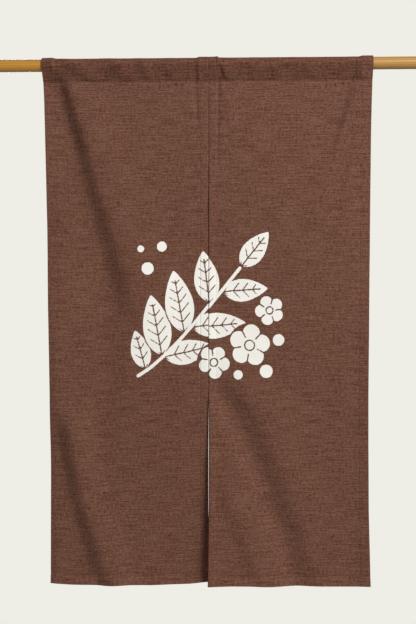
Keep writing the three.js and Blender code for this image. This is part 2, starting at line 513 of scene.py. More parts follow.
@dataclass(frozen=True)
class Cut:
    """One panel's shape as it hangs."""

    side: Side
    seed: int  # start of its random draws
    edges: tuple[tuple[float, float, float], ...]  # rows of depth, left edge and right edge
    hemline: tuple[tuple[float, float], ...]  # rows of place across and the hemline's depth there
    folds: tuple[Fold, ...]  # main folds, as in the solid
    creases: tuple[Fold, ...]  # smaller ones
    puckers: tuple[Pucker, ...]
    pocket_steps: tuple[float, float]  # widths over which the left and right hem end on the pocket


LEFT_CUT = Cut(
    side=Side.LEFT,
    seed=11,
    edges=(
        (0, -429.8, 0.0),
        (42, -428.0, 0.0),
        (100, -425.5, 0.0),
        (290, -420.2, 0.0),
        (600, -413.4, 0.0),
        (850, -409.2, 0.0),
        (985, -408.2, -0.8),
        (1145, -408.2, -0.8),
        (1340, -408.5, 2.5),
    ),
    hemline=(
        (-408, 1336.5),
        (-350, 1340),
        (-265, 1341),
        (-203, 1338.3),
        (-150, 1340),
        (-48, 1336),
        (3, 1330.5),
    ),
    folds=(
        # Drag fold from the pocket's outer corner: its ridge, the trough beside it, and its soft end
        Fold(18, 740, 52, 200, -368, -143, 0, 33, 100, 9.5, 2.3),
        Fold(18, 740, 52, 200, -401, -219, 0, 67, 33, -8.5, 2.3),
        Fold(500, 980, 180, 180, -205, -205, 0, 70, 150, 6),
        # Drag fold at the lower outer edge: its ridge and trough, and the edge turning back
        Fold(860, 1480, 90, 150, -360, -178, -34, 44, 76, 13, 1.2),
        Fold(860, 1480, 90, 150, -404, -231, -34, 70, 44, -3, 1.2),
        Fold(600, 1700, 200, 90, -412, -412, 0, 60, 22, -3),
        # Soft swelling beside it
        Fold(420, 1060, 220, 160, -412, -400, 0, 60, 150, 14),
        # The inner edge going back behind the other panel
        Fold(760, 1700, 640, 90, 10, 10, 0, 240, 60, -8),
    ),
    creases=(
        # Line of the inner hem, near the pocket
        Fold(30, 200, 20, 100, -33, -27, 0, 14, 8, -2.6),
    ),
    puckers=(
        Pucker(-383, -36, 18, 30, 2.4),
        Pucker(-298, -95, 40, 44, 4.4),
        Pucker(-204, -65, 36, 40, 4.2),
        Pucker(-150, -36, 20, 26, 2.4),
        Pucker(-96, -10, 16, 28, 1.8),
        Pucker(-25, 0, 12, 5, 1.4),
    ),
    pocket_steps=(10.0, 10.0),
)
RIGHT_CUT = Cut(
    side=Side.RIGHT,
    seed=23,
    edges=(
        (0, 0.0, 420.5),
        (48, 0.0, 418.5),
        (100, 0.0, 416.9),
        (290, 0.0, 414.5),
        (600, 0.0, 411.4),
        (850, 0.0, 408.8),
        (985, 0.6, 408.9),
        (1145, 0.6, 409.6),
        (1340, -1.4, 414.3),
    ),
    hemline=(
        (-2, 1338.7),
        (55, 1337.3),
        (158, 1339.2),
        (234, 1338),
        (311, 1338.5),
        (413, 1338),
    ),
    folds=(
        # Broad fold from the slit to the hemline: its ridge, the trough beside it, and the ridge below
        Fold(740, 1500, 150, 300, 50, 312, 43, 76, 130, 6.5, 0.8),
        Fold(740, 1500, 150, 300, -26, 251, 43, 56, 76, -9, 0.8),
        Fold(960, 1500, 220, 90, -8, 215, 0, 42, 80, 6),
        # Faint drag line from the pocket's outer corner
        Fold(30, 300, 50, 120, 387, 300, 0, 16, 40, 2.4),
        # Outer edge turning forward, and the inner edge in front of the other panel
        Fold(560, 1700, 200, 90, 418, 418, 0, 48, 48, 5),
        Fold(246, 1700, 30, 90, 0, 0, 0, 40, 30, 2.6),
        Fold(760, 1700, 640, 90, -4, -4, 0, 40, 260, 20),
    ),
    creases=(
        # Line of the inner hem, near the pocket
        Fold(30, 300, 20, 140, 25, 22, 0, 6, 10, -2.0),
        # Short drag lines below the pocket
        Fold(46, 260, 40, 120, 34, 80, 0, 14, 46, 1.6),
        Fold(110, 420, 50, 140, 390, 335, 0, 16, 36, 1.9),
        Fold(20, 260, 30, 120, 387, 316, 0, 15, 90, 3.6),
        # Outer corner below the pocket, held forward
        Fold(0, 190, 40, 110, 420, 418, 0, 54, 40, 7.0),
    ),
    puckers=(
        Pucker(28.5, -6, 5, 6, 1.6),
        Pucker(48.6, -30, 10, 36, 4.4),
        Pucker(113, 0, 14, 30, 1.6),
        Pucker(170, -6, 12, 30, 1.2),
        Pucker(279, -70, 16, 30, 1.8),
        Pucker(398, -30, 18, 22, 2.2),
    ),
    pocket_steps=(3.0, 12.0),
)


@dataclass(frozen=True)
class Hems:
    """Layers of a panel's cloth, and the hems that are turned to its back."""

    layer: float = 0.6  # thickness of the cloth
    turned: float = 1.2  # what a hem's two more layers add to it
    outer: float = 26.0  # width beside the panel's outer edge
    inner: float = 23.0  # width beside the slit
    bottom: float = 25.0  # width above the hemline
    step: float = 1.2  # width of the step where a hem ends
    stands: float = 1.4  # how far a stiff hem stands off the rod
    flare: float = 4.0  # how far the bottom hem's edge stands forward of its stitches
    depth: float = 1338.0  # usual depth of the hemline, for spacing the rows


@dataclass(frozen=True)
class Pocket:
    """A panel's pocket for the rod."""

    stitch: float = 43.5  # depth of the stitch line
    tail: float = 8.0  # turned-in edge behind the front layer, below the stitch line
    rod_gap: float = 0.3
    ply_gap: float = 0.1  # half of what parts the two layers where they are sewn
    front_turn: float = 3.0  # above 1, the front layer turns out soon above the stitch line
    straight_rows: int = 12  # from the stitch line to where the cloth meets the rod
    arc_rows: int = 32  # over the rod
    tail_rows: int = 5


@dataclass(frozen=True)
class Seam:
    """The edges that are sewn together above the slit."""

    dip: float = 1.5  # how far they turn in
    turn: float = 1.7  # width over which they do
    share: float = 0.85  # most of the thickness that may turn in
    on_pocket: float = 0.5  # share of the turn that is left on the pocket
    foot: float = 246.0  # depth at which they end
    hold: float = 60.0  # how far they keep the cloth around them flat


@dataclass(frozen=True)
class StitchPull:
    """What a line of stitches does to the cloth."""

    dip: float = 0.4  # how far stitches sink in
    half: float = 3.0  # half the width of the groove that they sink
    share: float = 0.6  # most of the thickness that they may take up
    pocket_draw: float = 1.0  # how far the pocket's line draws in the cloth around it
    hem_draw: float = 1.2  # how far the bottom hem's line does
    reach: float = 10.0  # how far from a line the cloth is drawn in


@dataclass(frozen=True)
class Unevenness:
    """Slight waves all over a panel, and ripples beside its stitches."""

    waves: tuple[float, ...] = (61.0, 78.0, 97.0, 124.0, 151.0, 190.0, 233.0)  # lengths
    wave_height: float = 0.22
    wave_grow: float = 60.0  # depth below the stitch line over which waves grow
    ripples: tuple[float, ...] = (15.0, 23.0, 37.0)  # lengths, above and below the stitch line
    ripple_height: float = 0.22
    ripple_reach: float = 16.0
    ripple_grow: float = 5.0  # depth below the stitch line over which ripples grow
    pocket_height: float = 0.3  # of the ripples above the stitch line
    pocket_reach: float = 14.0
    pocket_climb: float = 60.0  # roughly from the stitch line up to the top of the rod
    pocket_grow: float = 8.0  # ripples are full after one part in so many of that climb
    hem_ripples: tuple[float, ...] = (31.0, 47.0, 83.0)  # lengths, beside the bottom hem's stitches
    hem_height: float = 0.2
    hem_reach: float = 14.0


@dataclass(frozen=True)
class Fineness:
    """How closely the rows and columns of a panel's sheet lie."""

    printed: float = 2.45  # step where the print's edges are drawn
    plain: float = 6.8  # step elsewhere
    stitch: float = 1.3  # step beside a line of stitches
    near: float = 4.0  # how far to each side of the line that goes
    pocket: float = 4.9  # step below the pocket
    pocket_near: float = 20.0  # how far down that goes
    seam: float = 0.85  # step beside the seam
    sharp: float = 60.0  # edges stay crisp above this angle, in degrees


class SubAssembly:
    """What the rod, the panels and their sewing share."""

    slot: ClassVar[Slot]

    def dress(self, piece: Piece, material: Material) -> None:
        """Gives a built piece its material and fixes it to the part.

        Args:
            piece: the piece.
            material: its material.
        """
        piece.data.materials.append(material)
        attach(piece, "root")


@dataclass
class Strip:
    """Rows of a sheet."""

    inner: Array  # points of the inner face, by row and column
    out: Array  # directions from the inner to the outer face
    thick: Array  # thicknesses
    along: Array  # the rows' distances from the hemline


@dataclass
class Panel(SubAssembly):
    """One cut of cloth with its hems and pocket, as a thin closed sheet."""

    slot: ClassVar[Slot] = Slot.CLOTH
    cut: Cut
    spray: LeafSpray
    rod_radius: float
    hems: Hems = Hems()
    pocket: Pocket = Pocket()
    seam: Seam = Seam()
    pull: StitchPull = StitchPull()
    uneven: Unevenness = Unevenness()
    fineness: Fineness = Fineness()

    def __post_init__(self) -> None:
        """Works out the sheet's rows and columns."""
        side_hems = (self.hems.outer, self.hems.inner)
        self.left_hem, self.right_hem = side_hems if self.cut.side is Side.LEFT else side_hems[::-1]
        self.depths, self.left_edge, self.right_edge = np.array(self.cut.edges).T
        self.width = float(self.right_edge[0] - self.left_edge[0])
        self.across = self.columns()
        body = self.lay_body()
        top = self.lay_pocket(body.inner[-1], body.along[-1])
        self.body_count = len(body.along)
        self.inner = np.concatenate([body.inner, top.inner])
        self.out = np.concatenate([body.out, top.out])
        self.thick = np.concatenate([body.thick, top.thick])
        self.along = np.concatenate([body.along, top.along])

    @property
    def name(self) -> str:
        """The sheet's name."""
        return f"{self.cut.side.value}_cloth"

    @property
    def flat(self) -> tuple[float, float]:
        """Width and length of the hemmed cloth laid flat, in metres."""
        return round(self.width * MM, 3), round(float(self.along[-1]) * MM, 3)

    @property
    def head(self) -> float:
        """The stitch line's distance from the hemline."""
        return self.hems.depth - self.pocket.stitch

    @property
    def outer(self) -> Array:
        """The outer face's points, by row and column."""
        return self.inner + self.out * self.thick[..., None]

    def columns(self) -> Array:
        """Spreads the columns, closest in the print and beside the seam and the hems' stitches.

        Returns:
            Their distances from the left edge.
        """
        fine, inner, printed = self.fineness, self.hems.inner, self.spray.half_width
        outer = self.width - self.hems.outer
        off_seam = spaced(
            (0.0, self.seam.turn, fine.seam),
            (self.seam.turn, inner - fine.near, fine.printed),
            (inner - fine.near, inner + fine.near, fine.stitch),
            (inner + fine.near, printed, fine.printed),
            (printed, outer - fine.near, fine.plain),
            (outer - fine.near, outer + fine.near, fine.stitch),
            (outer + fine.near, self.width, fine.plain),
        )
        return self.width - off_seam[::-1] if self.cut.side is Side.LEFT else off_seam

    def body_rows(self) -> Array:
        """Spreads the rows from the hemline up to the stitch line.

        Returns:
            Their distances from the hemline.
        """
        fine, hem, head = self.fineness, self.hems.bottom, self.head
        middle = self.hems.depth - self.spray.depth
        foot, top = middle - self.spray.half_height, middle + self.spray.half_height
        return spaced(
            (0.0, hem - fine.near, fine.plain),
            (hem - fine.near, hem + fine.near, fine.stitch),
            (hem + fine.near, foot, fine.plain),
            (foot, top, fine.printed),
            (top, head - fine.pocket_near, fine.plain),
            (head - fine.pocket_near, head - fine.near, fine.pocket),
            (head - fine.near, head, fine.stitch),
        )

    def place(self, down: Array) -> Array:
        """Gives the columns' places across.

        Args:
            down: depths, as one column or as one for each row and column.

        Returns:
            Places across, by row and column.
        """
        left = np.interp(down, self.depths, self.left_edge)
        right = np.interp(down, self.depths, self.right_edge)
        return left + (right - left) * self.across / self.width

    def hem_depth(self, x: Array) -> Array:
        """Gives the hemline's depth at places across."""
        return np.interp(x, *np.array(self.cut.hemline).T)

    def side_hem(self, steps: tuple[float, float] | None = None) -> Array:
        """Gives 1 in the columns of the side hems and 0 between them.

        Args:
            steps: widths over which the left and right hem end, where they aren't the usual one.

        Returns:
            One share for each column.
        """
        left_step, right_step = steps or (self.hems.step, self.hems.step)
        left = (self.left_hem - self.across) / left_step
        right = (self.across - self.width + self.right_hem) / right_step
        return ease(np.maximum(left, right) + 1.0)

    def slack(self, x: Array, down: Array) -> Array:
        """Gives how free the cloth is to ripple: 0 on the sewn edges, and 1 away from them."""
        beside = ease(1.0 - np.abs(x) / self.seam.hold)
        return 1.0 - beside * ease(1.0 + (self.seam.foot - down) / self.seam.hold)

    def body_rise(self, x: Array, down: Array) -> Array:
        """Gives how far the cloth comes towards the viewer.

        Args:
            x: places across.
            down: depths.

        Returns:
            The lift by folds, creases, waves, ripples and the pull of the stitches, at each place.
        """
        uneven, pull = self.uneven, self.pull
        off_pocket = down - self.pocket.stitch
        off_hem = self.hem_depth(x) - down - self.hems.bottom
        slack = self.slack(x, down)
        waves = Waviness(self.cut.seed, uneven.waves, uneven.wave_height)
        ripples = Gather(self.cut.seed + 1, uneven.ripples, uneven.ripple_height, uneven.ripple_reach)
        hem_ripples = Gather(self.cut.seed + 2, uneven.hem_ripples, uneven.hem_height, uneven.hem_reach)
        rise = sum(fold.rise_at(x, down) for fold in self.cut.folds + self.cut.creases)
        rise = rise + slack * ease(off_pocket / uneven.wave_grow) * waves.rise_at(x, down)
        rise = rise + slack * ease(off_pocket / uneven.ripple_grow) * ripples.rise_at(x, off_pocket)
        rise = rise + hem_ripples.rise_at(x, off_hem)
        rise = rise - pull.pocket_draw * ease(1.0 - np.abs(off_pocket) / pull.reach)
        rise = rise - pull.hem_draw * ease(1.0 - np.abs(off_hem) / pull.reach)
        return rise + self.hems.flare * np.clip(-off_hem / self.hems.bottom, 0.0, 1.0)

    def groove(self, above: Array) -> Array:
        """Gives how far the stitches of the hems and pocket sink into the front face.

        Args:
            above: the rows' distances from the hemline.

        Returns:
            One depth for each row and column.
        """
        off_left = np.abs(self.across - self.left_hem)
        off_right = np.abs(self.width - self.right_hem - self.across)
        off_foot = np.abs(above - self.hems.bottom)
        off_head = np.abs(above - self.hems.depth + self.pocket.stitch)
        sides = ease(1.0 - np.minimum(off_left, off_right) / self.pull.half)
        level = ease(1.0 - np.minimum(off_foot, off_head) / self.pull.half)
        return self.pull.dip * np.maximum(sides, level[:, None])

    def seam_turn(self) -> Array:
        """Gives how far each column's front face turns in towards the seam."""
        off_seam = self.width - self.across if self.cut.side is Side.LEFT else self.across
        return self.seam.dip * np.clip(1.0 - off_seam / self.seam.turn, 0.0, 1.0)

    def lay_body(self) -> Strip:
        """Lays the cloth from the hemline up to the stitch line.

        Returns:
            Its rows.
        """
        hems, pocket = self.hems, self.pocket
        above = self.body_rows()
        foot = self.hem_depth(self.place(np.array([[hems.depth]]))[0])
        down = foot + (pocket.stitch - foot) * above[:, None] / self.head
        x = self.place(down)
        foot_hem = ease((hems.bottom - above) / hems.step + 1.0)
        hemmed = np.maximum(self.side_hem(), foot_hem[:, None])
        below_tail = ease((down - pocket.stitch - pocket.tail) / hems.step)
        thick = hems.layer + hems.turned * hemmed * below_tail
        sunk = np.minimum(self.groove(above), self.pull.share * thick)
        turned = np.minimum(self.seam_turn(), self.seam.share * thick)
        front_y = -pocket.ply_gap - hems.layer - self.body_rise(x, down)
        inner = np.stack([x, front_y + thick, -down], axis=-1)
        out = np.broadcast_to(np.array([0.0, -1.0, 0.0]), inner.shape)
        return Strip(inner, out, thick - np.maximum(sunk, turned), above)

    def lift_pocket(self, inner: Array, out: Array) -> None:
        """Lifts the pocket by puckers and ripples on its front, and by stiff hems that stand off the rod.

        Args:
            inner: the inner face's points, which are moved.
            out: directions from the inner to the outer face.
        """
        pocket, uneven = self.pocket, self.uneven
        x = self.place(np.array([[0.0]]))[0]
        front_rows = pocket.straight_rows - 1 + pocket.arc_rows // 2
        climb = (np.arange(1, front_rows + 1) / (front_rows + 1))[:, None]
        ripples = Gather(self.cut.seed + 1, uneven.ripples, uneven.pocket_height, uneven.pocket_reach)
        rippled = np.abs(ripples.rise_at(x, climb * uneven.pocket_climb)) * ease(climb * uneven.pocket_grow)
        lift = sum(pucker.rise_at(x, climb) for pucker in self.cut.puckers)
        lift = lift + self.slack(x, 0.0) * rippled
        inner[:front_rows] += out[:front_rows] * lift[..., None]
        free_rows = len(inner) - pocket.tail_rows
        over = np.sin(np.linspace(0.0, math.pi, free_rows + 2))[1:-1, None]
        stands = self.hems.stands * self.side_hem(self.cut.pocket_steps) * over
        inner[:free_rows] += out[:free_rows] * stands[..., None]

    def lay_pocket(self, sewn: Array, sewn_along: float) -> Strip:
        """Lays the pocket: up from the stitch line, over the rod, and down behind to its turned-in edge.

        Args:
            sewn: the inner face's points on the stitch line.
            sewn_along: the stitch line's distance from the hemline.

        Returns:
            Its rows.
        """
        # Where the cloth leaves the stitch line, lies on the rod and comes back
        hems, pocket = self.hems, self.pocket
        front, back = np.array([0.0, -1.0, 0.0]), np.array([0.0, 1.0, 0.0])
        reach = self.rod_radius + pocket.rod_gap
        leave = math.acos((reach + hems.layer / 2.0) / pocket.stitch)
        straight = pocket.stitch * math.sin(leave)
        share = np.arange(1, pocket.straight_rows) / pocket.straight_rows
        part = share[:, None, None]
        angle = np.linspace(leave, 2.0 * math.pi - leave, pocket.arc_rows + 1)
        top_x = self.place(np.array([[0.0]]))[0]
        arc_out = np.stack([np.zeros_like(angle), -np.sin(angle), -np.cos(angle)], axis=-1)
        arc_out = np.repeat(arc_out[:, None, :], len(top_x), axis=1)
        arc = reach * arc_out
        arc[..., 0] = top_x
        rising = sewn + (arc[0] - sewn) * part
        rising_out = front + (arc_out[0] - front) * ease(part * pocket.front_turn)
        tail_down = pocket.stitch + np.linspace(0.0, pocket.tail, pocket.tail_rows)[:, None]
        tail_x = self.place(tail_down)
        tail_y = pocket.ply_gap + hems.turned * self.side_hem() - self.body_rise(tail_x, tail_down)
        tail = np.stack(np.broadcast_arrays(tail_x, tail_y, -tail_down), axis=-1)
        falling = arc[-1] + (tail[0] - arc[-1]) * part
        falling_out = arc_out[-1] + (back - arc_out[-1]) * part
        inner = np.concatenate([rising, arc, falling, tail])
        out = np.concatenate([rising_out, arc_out, falling_out, np.broadcast_to(back, tail.shape)])
        out = out / np.linalg.norm(out, axis=-1, keepdims=True)
        self.lift_pocket(inner, out)
        hem = self.side_hem(self.cut.pocket_steps)
        thick = hems.layer + hems.turned * hem - self.seam.on_pocket * self.seam_turn()

        # How far along the flat cloth each row lies
        on_rod = sewn_along + straight + reach * (angle - leave)
        tail_along = on_rod[-1] + straight + tail_down[:, 0] - pocket.stitch
        along = [sewn_along + straight * share, on_rod, on_rod[-1] + straight * share, tail_along]
        return Strip(inner, out, np.broadcast_to(thick, inner.shape[:2]), np.concatenate(along))

    def ink(self) -> Array:
        """Gives the print's field on the flat cloth.

        Returns:
            The field by row and column, held to the width of a bare line.
        """
        seam = self.width if self.cut.side is Side.LEFT else 0.0
        x, y = np.meshgrid(self.across - seam, self.along - self.hems.depth + self.spray.depth)
        return np.clip(self.spray.field(x, y), -self.spray.line, self.spray.line)

    def build(self) -> Piece:
        """Makes the sheet.

        Returns:
            Its object, with the flat cloth's map, the print's field, a mark of the pocket for its painted
            shade, and a mark of the inner face.
        """
        rows, columns = self.thick.shape
        count = rows * columns
        number = np.arange(count).reshape(rows, columns)
        outer = quads(number)
        rim = np.concatenate([number[0, ::-1], number[1:, 0], number[-1, 1:], number[-2::-1, -1]])
        start, end = rim[:-1], rim[1:]
        band = np.stack([start, end, end + count, start + count], -1)
        points = np.concatenate([self.outer.reshape(-1, 3), self.inner.reshape(-1, 3)])
        faces = np.concatenate([outer, outer[:, ::-1] + count, band])
        piece = new_mesh(self.name, points, faces.tolist())
        mesh = piece.data
        mesh.set_sharp_from_angle(angle=math.radians(self.fineness.sharp))
        # The pocket's rows, whose cloth gets painted shade
        in_pocket = np.repeat(np.arange(rows) >= self.body_count, columns)
        fields = {
            INK_FIELD: np.tile(self.ink().ravel(), 2),
            POCKET_SHADE_FIELD: np.tile(in_pocket, 2).astype(float),
            BACK_FIELD: np.repeat([0.0, 1.0], count),
        }
        for name, values in fields.items():
            mesh.attributes.new(name, "FLOAT", "POINT").data.foreach_set("value", values)
        across, along = np.meshgrid(self.across, self.along)
        flat = np.tile(np.stack([across, along], -1).reshape(-1, 2) * MM, (2, 1))
        corner = np.zeros(len(mesh.loops), np.int32)
        mesh.loops.foreach_get("vertex_index", corner)
        mesh.uv_layers.new(name=FLAT_MAP).data.foreach_set("uv", flat[corner].ravel())
        return piece

    def spots(self, across: Array, along: Array, face: Face) -> tuple[Array, Array]:
        """Finds places on the sheet.

        Args:
            across: distances from the left edge of the flat cloth.
            along: distances from its hemline.
            face: the face to find them on.

        Returns:
            The points, and the directions out of that face.
        """
        surface = self.outer if face is Face.OUTER else self.inner
        column = np.clip(np.searchsorted(self.across, across) - 1, 0, len(self.across) - 2)
        row = np.clip(np.searchsorted(self.along, along) - 1, 0, len(self.along) - 2)
        u = (across - self.across[column]) / (self.across[column + 1] - self.across[column])
        v = (along - self.along[row]) / (self.along[row + 1] - self.along[row])
        corners = ((row, column, (1 - u) * (1 - v)), (row, column + 1, u * (1 - v)))
        corners += ((row + 1, column, (1 - u) * v), (row + 1, column + 1, u * v))
        points = sum(surface[r, c] * part[:, None] for r, c, part in corners)
        out = sum(self.out[r, c] * part[:, None] for r, c, part in corners)
        return points, out if face is Face.OUTER else -out


@dataclass(frozen=True)
class StitchLine:
    """A straight line of stitches on the flat cloth: its two ends across and along, and its face."""

    start: tuple[float, float]
    end: tuple[float, float]
    face: Face


@dataclass
class Sewing(SubAssembly):
    """A panel's stitches, as one joined mesh of short threads."""

    slot: ClassVar[Slot] = Slot.CLOTH
    panel: Panel
    pitch: float = 3.6  # from one stitch to the next
    length: float = 2.9  # how much of the pitch shows as thread
    inset: float = 2.0  # from a hem's end, or the cloth's edge, to the stitches
    thread: float = 0.5  # the thread's thickness
    sides: int = 5
    arch: tuple[float, ...] = (-0.45, 0.15, 0.3, 0.15, -0.45)  # rise along a stitch, in thicknesses
    taper: tuple[float, ...] = (0.6, 1.0, 1.0, 1.0, 0.6)  # share of the thickness along a stitch

    @property
    def name(self) -> str:
        """The sewing's name."""
        return f"{self.panel.cut.side.value}_sewing"

    def lines(self) -> list[StitchLine]:
        """Lists the lines of stitches: pocket and bottom hem across, and the side hems, on both faces.

        Returns:
            The lines.
        """
        panel, inset = self.panel, self.inset
        foot, head = panel.hems.bottom - inset, panel.head
        side_top = head - panel.pocket.tail - inset
        tail = float(panel.along[-1]) - panel.pocket.tail + inset
        near, far = inset, panel.width - inset
        lines = [StitchLine((near, along), (far, along), Face.OUTER) for along in (head, tail)]
        for face in Face:
            lines.append(StitchLine((near, foot), (far, foot), face))
            for across in (panel.left_hem - inset, panel.width - panel.right_hem + inset):
                lines.append(StitchLine((across, foot + inset), (across, side_top), face))
        return lines

    def threads(self, line: StitchLine) -> tuple[Array, Array]:
        """Gives a line's stitches.

        Args:
            line: the line.

        Returns:
            A few points along each stitch, and the direction out of the cloth at each.
        """
        start, end = np.array(line.start), np.array(line.end)
        reach = float(np.hypot(*(end - start)))
        count = int(reach // self.pitch)
        share = np.linspace(-0.5, 0.5, len(self.arch)) * self.length / reach
        middles = (np.arange(count) + 0.5) * self.pitch / reach
        places = start + (end - start) * (middles[:, None] + share)[..., None]
        points, out = self.panel.spots(places[..., 0].ravel(), places[..., 1].ravel(), line.face)
        points, out = points.reshape(count, -1, 3), out.reshape(count, -1, 3)
        return points + out * (self.thread * np.array(self.arch))[:, None], out

    def build(self) -> Piece:
        """Makes the stitches.

        Returns:
            One object with all the panel's stitches.
        """
        made = [self.threads(line) for line in self.lines()]
        middle = np.concatenate([points for points, _ in made])
        out = np.concatenate([directions for _, directions in made])
        run = middle[:, -1] - middle[:, 0]
        run = run / np.linalg.norm(run, axis=-1, keepdims=True)
        beside = np.cross(run[:, None, :], out)
        turn = np.arange(self.sides) * 2.0 * math.pi / self.sides
        radius = self.thread / 2.0 * np.array(self.taper)
        ring = np.cos(turn)[:, None] * out[:, :, None, :] + np.sin(turn)[:, None] * beside[:, :, None, :]
        points = middle[:, :, None, :] + ring * radius[:, None, None]
        number = np.arange(points.size // 3).reshape(points.shape[:3])
        outwards = [0, 3, 2, 1]  # order of a face's corners that turns it outwards
        wall = quads(around(number))[:, outwards].tolist()
        ends = number[:, 0].tolist() + number[:, -1, ::-1].tolist()
        return new_mesh(self.name, points.reshape(-1, 3), wall + ends)


@dataclass
class Rod(SubAssembly):
    """The round wooden rod, turned a little unevenly, with eased rims."""

    slot: ClassVar[Slot] = Slot.WOOD
    name: str = "wooden_rod"
    sides: int = 72
    step: float = 15.0  # between rings along it
    rim: float = 1.5  # width of the eased rim at each end
    rim_rings: int = 5
    uneven: float = 0.08  # how far its radius strays
    waves: tuple[float, ...] = (160.0, 230.0, 410.0)
    wave_seed: int = 5
    wave_turn: float = 2.0  # above 1, waves are shorter around the rod than along it
    sharp: float = 50.0  # edges stay crisp above this angle, in degrees

    def __post_init__(self) -> None:
        """Takes the rod's length and radius from the frame."""
        lowest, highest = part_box("rod")
        self.half = float(highest.x - lowest.x) / 2.0 / MM
        self.radius = float(highest.z - lowest.z) / 2.0 / MM

    def build(self) -> Piece:
        """Makes the rod.

        Returns:
            Its object.
        """
        bend = np.linspace(0.0, math.pi / 2.0, self.rim_rings)
        rim_in = self.rim * (1.0 - np.sin(bend))
        rim_along = self.rim * (1.0 - np.cos(bend))
        body = spaced((self.rim - self.half, self.half - self.rim, self.step))
        x = np.concatenate([rim_along - self.half, body[1:-1], (self.half - rim_along)[::-1]])[:, None]
        inset = np.concatenate([rim_in, np.zeros(len(body) - 2), rim_in[::-1]])[:, None]
        turn = np.arange(self.sides) * 2.0 * math.pi / self.sides
        waves = Waviness(self.wave_seed, self.waves, self.uneven / len(self.waves))
        radius = self.radius - self.uneven - inset + waves.rise_at(x, turn * self.radius * self.wave_turn)
        points = np.stack(np.broadcast_arrays(x, radius * np.cos(turn), radius * np.sin(turn)), -1)
        number = np.arange(len(x) * self.sides).reshape(len(x), self.sides)
        ends = [number[0, ::-1].tolist(), number[-1].tolist()]
        piece = new_mesh(self.name, points.reshape(-1, 3), quads(around(number)).tolist() + ends)
        piece.data.set_sharp_from_angle(angle=math.radians(self.sharp))
        return piece


@dataclass(frozen=True)
class Yarn:
    """One kind of yarn: its streaks' size across and along the cloth, and their share of the tone."""

    across: float
    along: float
    share: float


@dataclass(frozen=True)
class SlubCloth:
    """Dyed cloth woven from slub yarn, printed in white pigment ink.

    Yarn of uneven thickness gives the eye short level streaks, lighter and darker, over fainter upright
    ones, on a matt face. The ink lies on the yarns, so the weave still shows in it.
    """

    dark: str = "#4e2614"
    light: str = "#835f50"
    white: str = "#f8f5ee"
    # A yarn is about 0.5 mm thick. It is drawn as coarse as its streaks need to show.
    nub: Yarn = Yarn(5.0, 5.0, 0.22)  # specks where thick yarns cross
    weft: Yarn = Yarn(8.5, 3.3, 0.30)
    slub: Yarn = Yarn(60.0, 3.5, 0.30)
    warp: Yarn = Yarn(3.1, 27.0, 0.18)
    contrast: tuple[float, float] = (0.36, 0.64)  # noise at which a streak is darkest and lightest
    pocket_shade: float = 0.10  # painted shade: how much darker the pocket's doubled cloth is painted
    ragged: float = 0.9  # how far yarns break up the ink's edge
    ink_edge: tuple[float, float] = (0.1, 0.8)  # from full ink to bare cloth
    ink_cover: float = 0.97
    show_through: float = 0.16  # how much of the ink shows on the inner face
    relief: float = 0.8
    rough: tuple[float, float] = (0.95, 0.85)  # of the darkest and lightest yarn

    def streaks(self, tree: Tree, flat: Socket, yarn: Yarn) -> Socket:
        """Adds the streaks of one kind of yarn.

        Args:
            tree: the material's tree.
            flat: places on the flat cloth, in metres.
            yarn: the yarn.

        Returns:
            The socket that runs from 0 to 1 over the streaks.
        """
        scale = (1.0 / (yarn.across * MM), 1.0 / (yarn.along * MM), 1.0)
        spot = add_node(tree, "Mapping", {"Vector": flat, "Scale": scale})
        noise = add_node(tree, "TexNoise", {"Vector": spot, "Scale": 1.0, "Detail": 1.0, "Roughness": 0.5})
        lowest, highest = self.contrast
        return add_node(tree, "MapRange", {"Value": noise, "From Min": lowest, "From Max": highest})

    def material(self) -> Material:
        """Makes the material.

        Returns:
            The material.
        """
        material, tree = new_material("slub_woven_cloth")
        flat = add_node(tree, "UVMap", out="UV", uv_map=FLAT_MAP)
        yarns = (self.nub, self.weft, self.slub, self.warp)
        streaks = {yarn: self.streaks(tree, flat, yarn) for yarn in yarns}
        tone = 0.0
        for yarn, streak in streaks.items():
            tone = add_node(tree, "Math", {0: streak, 1: yarn.share, 2: tone}, operation="MULTIPLY_ADD")
        # Painted shade: the pocket's doubled cloth is painted darker
        pocket_shade_mask = add_node(tree, "Attribute", out="Fac", attribute_name=POCKET_SHADE_FIELD)
        depth = add_node(tree, "Math", {0: pocket_shade_mask, 1: -self.pocket_shade, 2: tone}, operation="MULTIPLY_ADD")
        shades = {0: depth, 6: linear(self.dark), 7: linear(self.light)}
        dye = add_node(tree, "Mix", shades, out=2, data_type="RGBA")

        # Ink, ragged where yarns cross its edge, and faint on the inner face
        field = add_node(tree, "Attribute", out="Fac", attribute_name=INK_FIELD)
        torn = {0: streaks[self.weft], 1: self.ragged, 2: field}
        edge = add_node(tree, "Math", torn, operation="MULTIPLY_ADD")
        full, bare = self.ink_edge
        ramp = {"Value": edge, "From Min": full, "From Max": bare, "To Min": 1.0, "To Max": 0.0}
        inked = add_node(tree, "MapRange", ramp)
        back = add_node(tree, "Attribute", out="Fac", attribute_name=BACK_FIELD)
        ramp = {"Value": back, "To Min": self.ink_cover, "To Max": self.show_through}
        strength = add_node(tree, "MapRange", ramp)
        cover = add_node(tree, "Math", {0: inked, 1: strength}, operation="MULTIPLY")
        colour = add_node(tree, "Mix", {0: cover, 6: dye, 7: linear(self.white)}, out=2, data_type="RGBA")

        bump = add_node(tree, "Bump", {"Height": tone, "Distance": self.relief * MM, "Strength": 0.35})
        ramp = {"Value": tone, "To Min": self.rough[0], "To Max": self.rough[1]}
        rough = add_node(tree, "MapRange", ramp)
        surface = {
            "Base Color": colour,
            "Roughness": rough,
            "Normal": bump,
            "IOR": 1.5,
            "Specular IOR Level": 0.12,
            "Sheen Weight": 0.03,
            "Sheen Roughness": 0.5,
        }
        shader = add_node(tree, "BsdfPrincipled", surface)
        add_node(tree, "OutputMaterial", {"Surface": shader})
        return material


